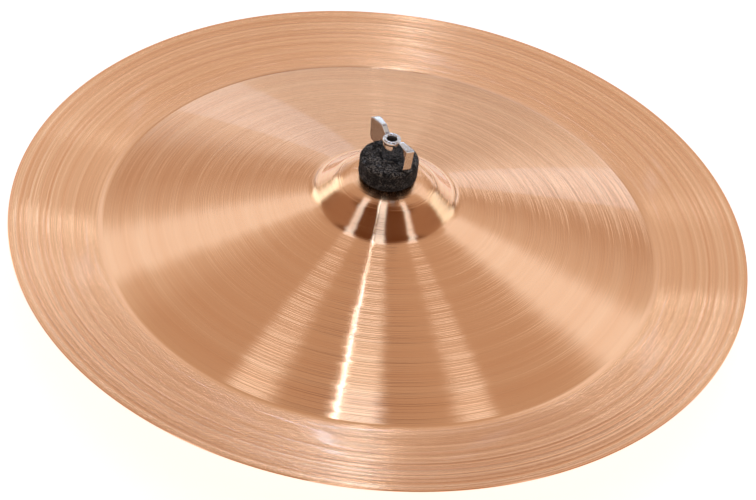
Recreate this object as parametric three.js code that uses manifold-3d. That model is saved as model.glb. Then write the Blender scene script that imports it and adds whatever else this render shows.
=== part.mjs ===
// An 18 inch china cymbal, held between two felts on a threaded stud by a wing nut.
// Millimetres, +Z up. The origin is the centre of the stud's lower end, and the stud stands along Z.
import * as THREE from "three";
import { mergeVertices } from "three/addons/utils/BufferGeometryUtils.js";
import Module from "manifold-3d";

const wasm = await Module();
wasm.setup();

// Gap left between two pieces that seat on each other.
const seatGap = 0.3;
// How far a cutting body runs past what it cuts.
const overrun = 1;
// Steps of a full turn, on small round pieces and on the cymbal.
const roundSteps = 48;
const cymbalSteps = 84;
// Steps of a quarter turn in a rounded corner, on small pieces and in the cymbal's profile.
const cornerSteps = 3;
const profileSteps = 14;
// Steps of the curve along which a felt seats on the crown.
const seatSteps = 3;

// Threaded stud. Its tail is what stands below the jam nut.
const studDiameter = 8;
const studTail = 38;
const studChamfer = 0.8;
const threadEngagement = 8.6;

// Jam nut
const jamNutSides = 6;
const jamNutAcrossFlats = 13;
const jamNutHeight = 6.5;
const jamNutChamferRise = 0.7;
const threadClearance = 0.25;

// Cup washer
const washerDiameter = 34;
const washerThickness = 1.2;
const washerClearance = 0.4;
const washerEdgeDrop = 2.6;
const washerBendRadius = 1.4;
const washerEdgeRadius = 0.48;

// Sleeve
const sleeveClearance = 0.3;
const sleeveWall = 1;
const sleeveFlangeWidth = 2.2;
const sleeveFlangeThickness = 1.5;
const sleeveRecess = 1.6;

// Felts
const feltDiameter = 36;
const lowerFeltThickness = 10;
const upperFeltThickness = 13;
const feltClearance = 0.3;
const feltFreeEdgeRadius = 2;
const feltSeatEdgeRadius = 0.9;

// Cymbal. Rises and drops are taken between the corners of the profile before rounding.
const cymbalDiameter = 457.2;
const holeClearance = 1.05;
const bellThickness = 1.2;
const rimThickness = 0.9;
const crownRise = 3;
const shoulderDiameter = 56.2;
const shoulderRadius = 25;
const bellRise = 13.6;
const bellDiameter = 88.6;
const bellFootRadius = 14;
const bowDrop = 28.1;
const creaseRadius = 4;
const flangeWidth = 55.6;
const flangeRise = 8;

// Wing nut. Seen from above, one side of a wing runs straight out from the nut's axis and the other
// swells from the neck to the knuckle. Seen from the side, a ramp climbs from the ring to its top.
const ringWall = 1.4;
const ringBeadHeight = 2;
const ringBeadRadius = 0.9;
const waistDepth = 0.4;
const hubFlare = 0.5;
const hubFootHeight = 3;
const wingNutHeight = 13.8;
const wingNeckThickness = 2.9;
const wingTipThickness = 4.6;
const wingNeckReach = 3;
const wingKnuckleReach = 9.5;
const wingSwellRadius = 8;
const wingTipReach = 13.2;
const wingTipTaper = 1.2;
const wingRise = 3.5;
const wingRampReach = 3.4;
const wingRampRadius = 1.6;
const wingTopRadius = 1;
const wingFootClearance = 0.8;
const wingFootRadius = 3;
const wingAzimuth = THREE.MathUtils.degToRad(135);
const wingTipSkew = THREE.MathUtils.degToRad(22);

// Radii that follow from the stud, piece by piece outwards.
const studRadius = studDiameter / 2;
const nutBoreRadius = studRadius + threadClearance;
const sleeveBoreRadius = studRadius + sleeveClearance;
const sleeveRadius = sleeveBoreRadius + sleeveWall;
const sleeveFlangeRadius = sleeveRadius + sleeveFlangeWidth;
const feltBoreRadius = sleeveRadius + feltClearance;
const feltRadius = feltDiameter / 2;
const holeRadius = sleeveRadius + holeClearance;
const washerBoreRadius = studRadius + washerClearance;
const ringRadius = nutBoreRadius + ringWall;

// Heights, stacked from the lower end of the stud.
const jamNutBase = studTail;
const washerBase = jamNutBase + jamNutHeight + seatGap;
const washerTop = washerBase + washerThickness;
const lowerFeltBase = washerTop + seatGap;
const crownUnderside = lowerFeltBase + lowerFeltThickness + seatGap;
const crownTop = crownUnderside + bellThickness;
const upperFeltTop = crownTop + seatGap + upperFeltThickness;
const wingNutBase = upperFeltTop + seatGap;
const studTop = wingNutBase + threadEngagement;

// One material for each piece, in the colours of the real ones.
const bronze = { color: 0xb98c4e, roughness: 0.34, metalness: 1 };
const chrome = { color: 0xd9dbde, roughness: 0.12, metalness: 1 };
const steel = { color: 0xb4b7ba, roughness: 0.3, metalness: 1 };
const felt = { color: 0x17171a, roughness: 1, metalness: 0 };
const nylon = { color: 0x202022, roughness: 0.5, metalness: 0 };

// Points of a path whose corners are rounded. A corner is [x, y] or [x, y, radius].
function roundedPath(corners, closed = true, quarterSteps = cornerSteps) {
  const points = corners.map(([x, y]) => new THREE.Vector2(x, y));
  const count = points.length;
  const path = [];
  corners.forEach(([, , radius = 0], i) => {
    const isEnd = !closed && (i === 0 || i === count - 1);
    if (isEnd || radius === 0) {
      path.push(points[i]);
      return;
    }
    const before = points[(i + count - 1) % count];
    const after = points[(i + 1) % count];
    path.push(...cornerArc(before, points[i], after, radius, quarterSteps));
  });
  return path;
}

// Points of the arc that rounds the corner between two straight runs.
function cornerArc(before, corner, after, radius, quarterSteps) {
  const back = before.clone().sub(corner).normalize();
  const ahead = after.clone().sub(corner).normalize();
  const halfAngle = Math.acos(THREE.MathUtils.clamp(back.dot(ahead), -1, 1)) / 2;
  const middle = back.clone().add(ahead).normalize();
  const centre = corner.clone().addScaledVector(middle, radius / Math.sin(halfAngle));
  const reach = radius / Math.tan(halfAngle);
  const start = corner.clone().addScaledVector(back, reach).sub(centre);
  const turn = Math.PI - 2 * halfAngle;
  const side = Math.sign(ahead.cross(back));
  const steps = Math.max(2, Math.ceil((turn / (Math.PI / 2)) * quarterSteps));
  const arc = [];
  for (let i = 0; i <= steps; i++) {
    arc.push(start.clone().rotateAround(new THREE.Vector2(), (side * turn * i) / steps).add(centre));
  }
  return arc;
}

// A path moved sideways, to the right of its direction, by a distance that depends on the radius.
function offsetPath(path, distanceAt) {
  return path.map((point, i) => {
    const before = path[Math.max(i - 1, 0)];
    const after = path[Math.min(i + 1, path.length - 1)];
    const inward = i > 0 ? point.clone().sub(before).normalize() : null;
    const outward = i < path.length - 1 ? after.clone().sub(point).normalize() : null;
    const first = inward ?? outward;
    const along = first.clone().add(outward ?? inward).normalize();
    const miter = distanceAt(point.x) / along.dot(first);
    return new THREE.Vector2(point.x + along.y * miter, point.y - along.x * miter);
  });
}

// Height of a path that runs outwards, at one radius.
function heightAt(path, radius) {
  const next = path.findIndex((point) => point.x > radius);
  if (next < 1) return (next === 0 ? path[0] : path[path.length - 1]).y;
  const [low, high] = [path[next - 1], path[next]];
  return THREE.MathUtils.mapLinear(radius, low.x, high.x, low.y, high.y);
}

// Points along a path's height, moved by a lift, between two radii.
function followPath(path, from, to, lift) {
  return Array.from({ length: seatSteps + 1 }, (_, i) => {
    const radius = THREE.MathUtils.lerp(from, to, i / seatSteps);
    return [radius, heightAt(path, radius) + lift];
  });
}

// A ring turned about Z from a closed profile of [radius, height] points, listed anticlockwise.
function turnedRing(profile, steps) {
  return new THREE.LatheGeometry([...profile, profile[0]], steps).rotateX(Math.PI / 2);
}

// A three.js geometry as a solid that can be joined and cut.
function solidOf(geometry) {
  const bare = geometry.clone();
  bare.deleteAttribute("normal");
  bare.deleteAttribute("uv");
  const merged = mergeVertices(bare);
  return new wasm.Manifold(
    new wasm.Mesh({
      numProp: 3,
      vertProperties: merged.attributes.position.array,
      triVerts: new Uint32Array(merged.index.array),
    }),
  );
}

// A solid as a three.js geometry.
function geometryOf(solid) {
  const mesh = solid.getMesh();
  const geometry = new THREE.BufferGeometry();
  geometry.setAttribute("position", new THREE.BufferAttribute(mesh.vertProperties, 3));
  geometry.setIndex(new THREE.BufferAttribute(mesh.triVerts, 1));
  geometry.computeVertexNormals();
  return geometry;
}

// A round cutter along Z, from below its base to above its top.
function boreCutter(radius, base, top) {
  const height = top - base + 2 * overrun;
  const cutter = new THREE.CylinderGeometry(radius, radius, height, roundSteps);
  return cutter.rotateX(Math.PI / 2).translate(0, 0, (base + top) / 2);
}

// Upper surface of the cymbal, from the hole's edge to the rim.
function cymbalTopPath() {
  const rimRadius = cymbalDiameter / 2;
  const shoulderHeight = crownTop - crownRise;
  const bellFootHeight = shoulderHeight - bellRise;
  const creaseHeight = bellFootHeight - bowDrop;
  const corners = [
    [holeRadius, crownTop],
    [shoulderDiameter / 2, shoulderHeight, shoulderRadius],
    [bellDiameter / 2, bellFootHeight, bellFootRadius],
    [rimRadius - flangeWidth, creaseHeight, creaseRadius],
    [rimRadius, creaseHeight + flangeRise],
  ];
  return roundedPath(corners, false, profileSteps);
}

// The sheet thins evenly from the hole to the rim.
function thicknessAt(radius) {
  return THREE.MathUtils.mapLinear(radius, holeRadius, cymbalDiameter / 2, bellThickness, rimThickness);
}

function cymbalUndersidePath(top) {
  const underside = offsetPath(top, thicknessAt);
  underside[0].x = holeRadius;
  underside[underside.length - 1].x = cymbalDiameter / 2;
  return underside;
}

function cymbalGeometry(top, underside) {
  return turnedRing([...underside, ...[...top].reverse()], cymbalSteps);
}

// Domed to the crown below it, flat on top, with a bore for the sleeve.
function upperFeltGeometry(top) {
  const [footInner, ...footRest] = followPath(top, feltBoreRadius, feltRadius, seatGap);
  const [edgeRadius, edgeHeight] = footRest.pop();
  const profile = roundedPath([
    footInner,
    ...footRest,
    [edgeRadius, edgeHeight, feltSeatEdgeRadius],
    [feltRadius, upperFeltTop, feltFreeEdgeRadius],
    [feltBoreRadius, upperFeltTop],
  ]);
  return turnedRing(profile, roundSteps);
}

// Flat on the cup washer, domed to the crown above it, with a recess for the sleeve's flange.
function lowerFeltGeometry(underside) {
  const head = followPath(underside, feltBoreRadius, feltRadius, -seatGap);
  const [edgeRadius, edgeHeight] = head.pop();
  const recessRadius = sleeveFlangeRadius + feltClearance;
  const recessTop = washerTop + seatGap + sleeveFlangeThickness + seatGap;
  const profile = roundedPath([
    [recessRadius, lowerFeltBase],
    [feltRadius, lowerFeltBase, feltSeatEdgeRadius],
    [edgeRadius, edgeHeight, feltSeatEdgeRadius],
    ...head.reverse(),
    [feltBoreRadius, recessTop],
    [recessRadius, recessTop],
  ]);
  return turnedRing(profile, roundSteps);
}

// A tube with a flange at its foot, which stops it in the cup washer.
function sleeveGeometry() {
  const base = washerTop + seatGap;
  const top = upperFeltTop - sleeveRecess;
  const flangeTop = base + sleeveFlangeThickness;
  const profile = roundedPath([
    [sleeveBoreRadius, base],
    [sleeveFlangeRadius, base],
    [sleeveFlangeRadius, flangeTop],
    [sleeveRadius, flangeTop],
    [sleeveRadius, top, sleeveWall / 2],
    [sleeveBoreRadius, top],
  ]);
  return turnedRing(profile, roundSteps);
}

// A pressed washer whose edge is turned down, which stiffens the seat of the lower felt.
function cupWasherGeometry() {
  const outerRadius = washerDiameter / 2;
  const innerRadius = outerRadius - washerThickness;
  const edgeBase = washerBase - washerEdgeDrop;
  const profile = roundedPath([
    [washerBoreRadius, washerBase],
    [innerRadius, washerBase, washerBendRadius],
    [innerRadius, edgeBase, washerEdgeRadius],
    [outerRadius, edgeBase, washerEdgeRadius],
    [outerRadius, washerTop, washerBendRadius + washerThickness],
    [washerBoreRadius, washerTop],
  ]);
  return turnedRing(profile, roundSteps);
}

// A six-sided nut whose corners are turned off above and below.
function jamNutGeometry() {
  const flatRadius = jamNutAcrossFlats / 2;
  const cornerRadius = flatRadius / Math.cos(Math.PI / jamNutSides);
  const top = jamNutBase + jamNutHeight;
  const hexagon = new THREE.CylinderGeometry(cornerRadius, cornerRadius, jamNutHeight, jamNutSides);
  hexagon.rotateX(Math.PI / 2).translate(0, 0, (jamNutBase + top) / 2);
  const turned = turnedRing(
    [
      new THREE.Vector2(nutBoreRadius, jamNutBase),
      new THREE.Vector2(flatRadius, jamNutBase),
      new THREE.Vector2(cornerRadius, jamNutBase + jamNutChamferRise),
      new THREE.Vector2(cornerRadius, top - jamNutChamferRise),
      new THREE.Vector2(flatRadius, top),
      new THREE.Vector2(nutBoreRadius, top),
    ],
    roundSteps,
  );
  return geometryOf(solidOf(hexagon).intersect(solidOf(turned)));
}

function studGeometry() {
  const profile = [
    new THREE.Vector2(0, 0),
    new THREE.Vector2(studRadius - studChamfer, 0),
    new THREE.Vector2(studRadius, studChamfer),
    new THREE.Vector2(studRadius, studTop - studChamfer),
    new THREE.Vector2(studRadius - studChamfer, studTop),
    new THREE.Vector2(0, studTop),
  ];
  return new THREE.LatheGeometry(profile, roundSteps).rotateX(Math.PI / 2);
}

// The round middle of the wing nut: a flared foot, a waist and a bead round the mouth of the bore.
function wingNutHub() {
  const top = wingNutBase + wingNutHeight;
  const waistRadius = ringRadius - waistDepth;
  const profile = roundedPath([
    [nutBoreRadius, wingNutBase],
    [ringRadius + hubFlare, wingNutBase, hubFlare],
    [waistRadius, wingNutBase + hubFootHeight, hubFootHeight],
    [waistRadius, top - ringBeadHeight],
    [ringRadius, top - ringBeadHeight + waistDepth],
    [ringRadius, top, ringBeadRadius],
    [nutBoreRadius, top, ringWall - ringBeadRadius],
  ]);
  return solidOf(turnedRing(profile, roundSteps));
}

// An upright body with the outline of a wing seen from above, its straight side along X.
function wingPlanBody() {
  const reach = 2 * (ringRadius + wingTipReach);
  const outline = roundedPath([
    [nutBoreRadius, -wingNeckThickness],
    [ringRadius + wingNeckReach, -wingNeckThickness, wingSwellRadius],
    [ringRadius + wingKnuckleReach, -wingTipThickness, wingSwellRadius],
    [reach, -wingTipThickness],
    [reach, 0],
    [nutBoreRadius, 0],
  ]);
  const depth = wingNutHeight + wingRise + 2 * overrun;
  const body = new THREE.ExtrudeGeometry(new THREE.Shape(outline), { depth, bevelEnabled: false });
  return body.translate(0, 0, wingNutBase - overrun);
}

// A body across the wing with its outline seen from the side: foot, tapered tip, flat top and ramp.
function wingSideBody() {
  const foot = wingNutBase + wingFootClearance;
  const ringTop = wingNutBase + wingNutHeight;
  const tipRadius = ringRadius + wingTipReach;
  const outline = roundedPath([
    [0, foot],
    [tipRadius - wingTipTaper, foot, wingFootRadius],
    [tipRadius, ringTop + wingRise, wingTopRadius],
    [ringRadius + wingRampReach, ringTop + wingRise, wingTopRadius],
    [ringRadius, ringTop - ringBeadRadius, wingRampRadius],
    [0, ringTop - ringBeadRadius],
  ]);
  const depth = 2 * tipRadius;
  const body = new THREE.ExtrudeGeometry(new THREE.Shape(outline), { depth, bevelEnabled: false });
  return body.translate(0, 0, -depth / 2).rotateX(Math.PI / 2).rotateZ(-wingTipSkew);
}

function wing() {
  const plan = wingPlanBody().rotateZ(wingAzimuth);
  const side = wingSideBody().rotateZ(wingAzimuth);
  return solidOf(plan).intersect(solidOf(side));
}

function wingNutGeometry() {
  const oneWing = wing();
  const otherWing = oneWing.rotate([0, 0, 180]);
  const bore = boreCutter(nutBoreRadius, wingNutBase, wingNutBase + wingNutHeight);
  return geometryOf(wingNutHub().add(oneWing).add(otherWing).subtract(solidOf(bore)));
}

function piece(name, geometry, finish) {
  const mesh = new THREE.Mesh(geometry, new THREE.MeshStandardMaterial(finish));
  mesh.name = name;
  return mesh;
}

const topPath = cymbalTopPath();
const undersidePath = cymbalUndersidePath(topPath);

const chinaCymbal = new THREE.Group();
chinaCymbal.add(
  piece("threaded_stud", studGeometry(), steel),
  piece("jam_nut", jamNutGeometry(), steel),
  piece("cup_washer", cupWasherGeometry(), steel),
  piece("sleeve", sleeveGeometry(), nylon),
  piece("lower_felt", lowerFeltGeometry(undersidePath), felt),
  piece("cymbal", cymbalGeometry(topPath, undersidePath), bronze),
  piece("upper_felt", upperFeltGeometry(topPath), felt),
  piece("wing_nut", wingNutGeometry(), chrome),
);

export default chinaCymbal;
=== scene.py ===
# %% [markdown]
# # A china cymbal on its stud
# The object is a sheet of bronze, spun and lathed into a disc with a bell in the middle, a cone
# round it and a flange that turns up at the edge. It hangs between two felts on a threaded stud,
# under a wing nut. The plain solids of these parts are loaded first and are not moved: every
# surface made here lies where its solid lies, in metres, with Z up along the stud.

# %% The frame
import math

import bmesh
import bpy
import numpy as np
from mathutils import Matrix, Vector


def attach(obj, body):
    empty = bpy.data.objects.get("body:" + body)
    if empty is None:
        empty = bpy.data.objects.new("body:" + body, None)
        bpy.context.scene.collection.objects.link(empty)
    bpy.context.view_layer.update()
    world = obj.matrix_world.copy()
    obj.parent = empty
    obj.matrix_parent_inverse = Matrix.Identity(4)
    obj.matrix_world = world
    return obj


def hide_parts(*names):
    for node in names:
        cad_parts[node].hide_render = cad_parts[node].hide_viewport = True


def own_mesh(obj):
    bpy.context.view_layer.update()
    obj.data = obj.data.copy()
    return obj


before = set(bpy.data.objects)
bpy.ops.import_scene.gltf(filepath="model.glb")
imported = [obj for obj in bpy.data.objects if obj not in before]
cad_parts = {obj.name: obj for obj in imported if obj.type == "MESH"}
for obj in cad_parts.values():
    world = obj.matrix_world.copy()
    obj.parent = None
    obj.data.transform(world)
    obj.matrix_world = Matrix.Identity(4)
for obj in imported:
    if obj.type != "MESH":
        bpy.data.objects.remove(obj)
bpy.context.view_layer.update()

MM = 0.001
TURN = 2 * math.pi
print("solids:", ", ".join(sorted(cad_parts)))

# %% [markdown]
# ## Surfaces from grids
# Nearly every part here is turned: a profile swept round the stud. Blender has a Screw modifier
# for that, but a grid of points worked out with numpy gives the same mesh with its own UV map, and
# lets a thread or a hexagon be made by the same few lines. A grid has one row for each point of the
# profile and one column for each step of the turn.

# %% A mesh from a grid
def grid_mesh(name, points, wrap_rows=True, caps=False, sharp=None):
    """Quads between neighbours of a grid of points, shape (rows, columns, 3), in millimetres.
    The columns always close on themselves, the rows do when wrap_rows is true. A face looks along
    (down a row) x (along the columns), so a profile that runs clockwise, seen with the radius to
    the right and the height upwards, faces outwards. caps fills the first and last row."""
    rows, columns = points.shape[:2]
    row = np.arange(rows if wrap_rows else rows - 1)[:, None]
    column = np.arange(columns)[None, :]

    def index(i, j):
        return (i % rows) * columns + j % columns

    quads = np.stack([index(row, column), index(row + 1, column),
                      index(row + 1, column + 1), index(row, column + 1)], -1).reshape(-1, 4)
    uv_row, uv_column = np.broadcast_arrays(row / rows, column / columns)
    step = np.array([[0, 0], [1 / rows, 0], [1 / rows, 1 / columns], [0, 1 / columns]])
    uv = np.stack([uv_row, uv_column], -1).reshape(-1, 1, 2) + step
    around = np.arange(columns)
    fills = [index(0, around), index(rows - 1, around)[::-1]] if caps else []
    loops = np.concatenate([quads.ravel(), *fills]).astype(np.int32)
    sizes = np.array([4] * len(quads) + [columns] * len(fills), np.int32)
    mesh = bpy.data.meshes.new(name)
    mesh.vertices.add(rows * columns)
    mesh.vertices.foreach_set("co", (points.reshape(-1, 3) * MM).astype(np.float32).ravel())
    mesh.loops.add(len(loops))
    mesh.loops.foreach_set("vertex_index", loops)
    mesh.polygons.add(len(sizes))
    starts = np.concatenate([[0], np.cumsum(sizes)[:-1]]).astype(np.int32)
    mesh.polygons.foreach_set("loop_start", starts)
    mesh.polygons.foreach_set("use_smooth", np.ones(len(sizes), bool))
    layer = mesh.uv_layers.new(name="surface")
    flat = np.concatenate([uv.reshape(-1, 2), np.zeros((columns * len(fills), 2))]).astype(np.float32)
    layer.data.foreach_set("uv", flat.ravel())
    mesh.update(calc_edges=True)
    mesh.validate()
    if sharp is not None:
        mesh.set_sharp_from_angle(angle=math.radians(sharp))
    piece = bpy.data.objects.new(name, mesh)
    bpy.context.scene.collection.objects.link(piece)
    size = np.array(piece.dimensions) / MM
    print(f"{name}: {len(mesh.polygons)} faces, {size[0]:.1f} x {size[1]:.1f} x {size[2]:.1f} mm")
    return piece

# %% A profile with rounded corners, and its turn
def rounded(corners, steps=8, closed=True):
    """The path through [radius, height, rounding] corners, with an arc at each rounded corner.
    The arc's centre lies on the line that halves the corner, rounding / sin(half the corner) away,
    and the arc starts and ends rounding / tan(half the corner) along the two sides."""
    points = np.array([c[:2] for c in corners], float)
    path = []
    for i, corner in enumerate(corners):
        radius = corner[2] if len(corner) > 2 else 0
        if radius == 0 or (not closed and i in (0, len(corners) - 1)):
            path.append(points[i][None])
            continue
        back = points[i - 1] - points[i]
        ahead = points[(i + 1) % len(points)] - points[i]
        back, ahead = back / np.linalg.norm(back), ahead / np.linalg.norm(ahead)
        half = math.acos(np.clip(back @ ahead, -1, 1)) / 2
        centre = points[i] + (back + ahead) / np.linalg.norm(back + ahead) * radius / math.sin(half)
        start = points[i] + back * radius / math.tan(half) - centre
        side = np.sign(ahead[0] * back[1] - ahead[1] * back[0])
        turn = side * (math.pi - 2 * half) * np.linspace(0, 1, steps + 1)
        path.append(centre + np.stack([start[0] * np.cos(turn) - start[1] * np.sin(turn),
                                       start[0] * np.sin(turn) + start[1] * np.cos(turn)], -1))
    return np.concatenate(path)


def spaced(path, spacing, closed=True):
    """The same path with points added so that none lie further apart than the spacing."""
    ring = np.concatenate([path, path[:1]]) if closed else path
    length = np.linalg.norm(np.diff(ring, axis=0), axis=1)
    parts = np.maximum(1, np.ceil(length / spacing)).astype(int)
    pieces = [a + (b - a) * np.linspace(0, 1, n, endpoint=False)[:, None]
              for a, b, n in zip(ring[:-1], ring[1:], parts)]
    return np.concatenate(pieces + ([] if closed else [ring[-1:]]))


def swept(radius, angle, height):
    """Points on circles round Z, (r cos t, r sin t, z), from arrays that broadcast to one grid."""
    radius, angle, height = np.broadcast_arrays(radius, angle, height)
    return np.stack([radius * np.cos(angle), radius * np.sin(angle), height], -1)


def turned(profile, steps):
    """Each profile point (radius, height) carried round Z in even steps."""
    return swept(profile[:, :1], TURN * np.arange(steps) / steps, profile[:, 1:])

# %% [markdown]
# ## The cymbal
# A china cymbal is spun over a form and then cut on a lathe, so all of its shape is in one profile:
# a shallow crown round the hole, the bell, the long straight cone of the bow, a tight crease, and
# the flange that rises again to the rim. The solid has this profile in straight facets. Here it is
# carried round in 336 steps, with the wide grooves that the lathe tool leaves near the rim and on
# the flange cut into the profile itself. The finer lines are left to the material.

# %% The profile of the sheet
HOLE_RADIUS, CROWN_TOP, RIM_RADIUS = 6.35, 57.8, 228.6
SHOULDER = (28.1, 54.8, 25)
BELL_FOOT = (44.3, 41.2, 14)
CREASE = (173.0, 13.1, 4)
RIM_TOP = 21.1
CYMBAL_STEPS = 336

top_path = rounded([(HOLE_RADIUS, CROWN_TOP), SHOULDER, BELL_FOOT, CREASE, (RIM_RADIUS, RIM_TOP)],
                   steps=20, closed=False)
slopes = np.gradient(top_path[:, 1], top_path[:, 0])
bow_fall, flange_rise = [
    math.degrees(math.atan2(abs(end[1] - start[1]), end[0] - start[0]))
    for start, end in ((BELL_FOOT, CREASE), (CREASE, (RIM_RADIUS, RIM_TOP)))]
print(f"the bow falls {bow_fall:.1f} degrees and the flange rises {flange_rise:.1f} degrees")


def sheet_top(radius):
    """Height of the upper face at a radius, before any groove."""
    return np.interp(radius, top_path[:, 0], top_path[:, 1])


def sheet_thickness(radius):
    """The sheet thins evenly, from 1.2 mm at the hole to 0.9 mm at the rim."""
    return np.interp(radius, [HOLE_RADIUS, RIM_RADIUS], [1.2, 0.9])

# %% The tool's grooves
# Radius, width and depth of each groove that shows as a ring of its own.
GROOVES = [(223.6, 1.6, 0.075), (220.4, 1.3, 0.050), (217.0, 1.5, 0.075), (214.2, 1.2, 0.050),
           (210.4, 1.5, 0.067), (206.8, 1.3, 0.050), (204.2, 1.1, 0.040), (196.5, 1.2, 0.030),
           (180.6, 1.5, 0.022), (29.2, 1.3, 0.060)]


def groove_depth(radius):
    """How far the tool cut in: for each groove depth * (1 - u^2)^2 where u is the distance from
    its middle over half its width, and nothing outside it."""
    depth = np.zeros_like(radius)
    for middle, width, deep in GROOVES:
        u = np.clip(np.abs(radius - middle) / (width / 2), 0, 1)
        depth += deep * (1 - u * u) ** 2
    return depth


print(f"{len(GROOVES)} grooves, up to {max(deep for _, _, deep in GROOVES)} mm deep")

# %% The upper face
RIM_ROUND, HOLE_GAP = 0.42, 0.3
FIRST_RING, RING_SPACING, LEAST_SPACING = 0.5, 2.6, 0.12
upper = np.unique(np.concatenate([
    top_path[:, 0], np.arange(HOLE_RADIUS + FIRST_RING, RIM_RADIUS - RIM_ROUND, RING_SPACING),
    np.concatenate([m + w / 2 * np.linspace(-1, 1, 7) for m, w, _ in GROOVES])]))
upper = upper[(upper > HOLE_RADIUS + HOLE_GAP) & (upper < RIM_RADIUS - RIM_ROUND)]
upper = upper[np.concatenate([[True], np.diff(upper) > LEAST_SPACING])]
top_side = np.stack([upper, sheet_top(upper) - groove_depth(upper)], -1)
print("upper face:", len(upper), "rings")

# %% The lower face
UNDER_HOLE_GAP, UNDER_RIM_GAP = 0.2, 0.3
under = upper[::2]
under_slope = np.interp(under, top_path[:, 0], slopes)
drop = sheet_thickness(under) / np.sqrt(1 + under_slope ** 2)
under_side = np.stack([under + drop * under_slope, sheet_top(under) - drop], -1)[::-1]
under_side = under_side[(under_side[:, 0] > HOLE_RADIUS + UNDER_HOLE_GAP)
                        & (under_side[:, 0] < RIM_RADIUS - UNDER_RIM_GAP)]
print("lower face:", len(under_side), "rings")

# %% The rim, the hole's edge and the whole sheet
RIM_SINK = 0.06  # the rim's round lies this much lower, because the flange runs uphill to it
rim_turn = np.linspace(80, -80, 9) * math.pi / 180
rim_middle = RIM_TOP - sheet_thickness(RIM_RADIUS) / 2 - RIM_SINK
rim_side = np.stack([RIM_RADIUS - RIM_ROUND + RIM_ROUND * np.cos(rim_turn),
                     rim_middle + RIM_ROUND * np.sin(rim_turn)], -1)
# From below, and measured from the corner at which hole and crown would meet.
HOLE_EDGE = np.array([(0, -1.05), (0, -0.15), (0.12, -0.04)])
hole_side = HOLE_EDGE + (HOLE_RADIUS, CROWN_TOP)
sheet_profile = np.concatenate([top_side, rim_side, under_side, hole_side])
cymbal = grid_mesh("lathed_cymbal", turned(sheet_profile, CYMBAL_STEPS))
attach(cymbal, "cymbal")
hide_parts("cymbal")

# %% [markdown]
# ## Shared effects
# Lathe lines run round the bronze, above and below. They depend only on the distance from the
# stud's axis, so one node group works them out from Object coordinates and hands over a leaning
# normal, a tone for the colour and a roughness. Grain is the fine unevenness of felt, zinc, chrome
# and nylon.

# %% Helpers for node trees
def new_material(name):
    """A material with its Principled BSDF and its node tree."""
    material = bpy.data.materials.new(name)
    material.use_nodes = True
    return material, material.node_tree, material.node_tree.nodes["Principled BSDF"]


def node(tree, kind, **settings):
    """Adds a node. Names with capitals are input sockets, the others are the node's own settings."""
    made = tree.nodes.new(kind)
    for key, value in settings.items():
        if key[0].isupper():
            made.inputs[key.replace("_", " ")].default_value = value
        else:
            setattr(made, key, value)
    return made


def math_node(tree, operation, a, b=None, clamp=False):
    """One step of arithmetic. a and b are sockets or numbers; gives the result's socket."""
    made = tree.nodes.new("ShaderNodeMath")
    made.operation = operation
    made.use_clamp = clamp
    for socket, value in zip(made.inputs, (a, b)):
        if isinstance(value, (int, float)):
            socket.default_value = value
        elif value is not None:
            tree.links.new(value, socket)
    return made.outputs[0]


def mix_colour(tree, share, a, b):
    """Colour a turned towards colour b by a share. Each is a socket or a plain colour."""
    made = tree.nodes.new("ShaderNodeMix")
    made.data_type = "RGBA"
    for socket, value in ((made.inputs[0], share), (made.inputs[6], a), (made.inputs[7], b)):
        if hasattr(value, "default_value"):
            tree.links.new(value, socket)
        else:
            socket.default_value = value if isinstance(value, (int, float)) else (*value, 1)
    return made.outputs[2]


# %% Helpers for node groups, and a bump
def new_group(name, inputs, outputs):
    """An empty node group with float inputs (name: value) and outputs (name: socket type)."""
    group = bpy.data.node_groups.new(name, "ShaderNodeTree")
    for label, value in inputs.items():
        socket = group.interface.new_socket(label, in_out="INPUT", socket_type="NodeSocketFloat")
        socket.default_value = value
    for label, kind in outputs.items():
        group.interface.new_socket(label, in_out="OUTPUT", socket_type=kind)
    return group, group.nodes.new("NodeGroupInput"), group.nodes.new("NodeGroupOutput")


def use_group(tree, group, **values):
    """Places a group in a material with its own values."""
    made = tree.nodes.new("ShaderNodeGroup")
    made.node_tree = group
    for key, value in values.items():
        made.inputs[key.replace("_", " ")].default_value = value
    return made


def bumped(tree, shader, height, strength, depth):
    """Gives the shader a Bump node's normal. height is a socket, and depth the distance in metres."""
    bump = node(tree, "ShaderNodeBump", Strength=strength, Distance=depth)
    tree.links.new(height, bump.inputs["Height"])
    tree.links.new(bump.outputs["Normal"], shader.inputs["Normal"])

# %% Lathe lines: where a point lies, and noise along the radius
CUT_LENGTH, RING_LENGTH, COARSE_LENGTH, BAND_LENGTH = 0.0004, 0.0016, 0.0031, 0.011  # metres

lathe_lines, group_in, group_out = new_group(
    "Lathe lines", {"Cut": 0.45, "Rings": 0.03, "Wander": 0.016},
    {"Normal": "NodeSocketVector", "Tone": "NodeSocketFloat", "Roughness": "NodeSocketFloat"})
tree = lathe_lines
place = node(tree, "ShaderNodeSeparateXYZ")
tree.links.new(tree.nodes.new("ShaderNodeTexCoord").outputs["Object"], place.inputs[0])
x, y = place.outputs[0], place.outputs[1]
radius = math_node(tree, "SQRT", math_node(tree, "ADD", math_node(tree, "MULTIPLY", x, x),
                                           math_node(tree, "MULTIPLY", y, y)))
outward = [math_node(tree, "DIVIDE", side, radius) for side in (x, y)]


def noise_along(value, length, detail, roughness=0.5):
    """Noise along one line, with a cell of the given length in metres."""
    made = node(tree, "ShaderNodeTexNoise", noise_dimensions="1D", Scale=1.0, Detail=detail,
                Roughness=roughness)
    tree.links.new(math_node(tree, "DIVIDE", value, length), made.inputs["W"])
    return made.outputs["Fac"]


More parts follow.
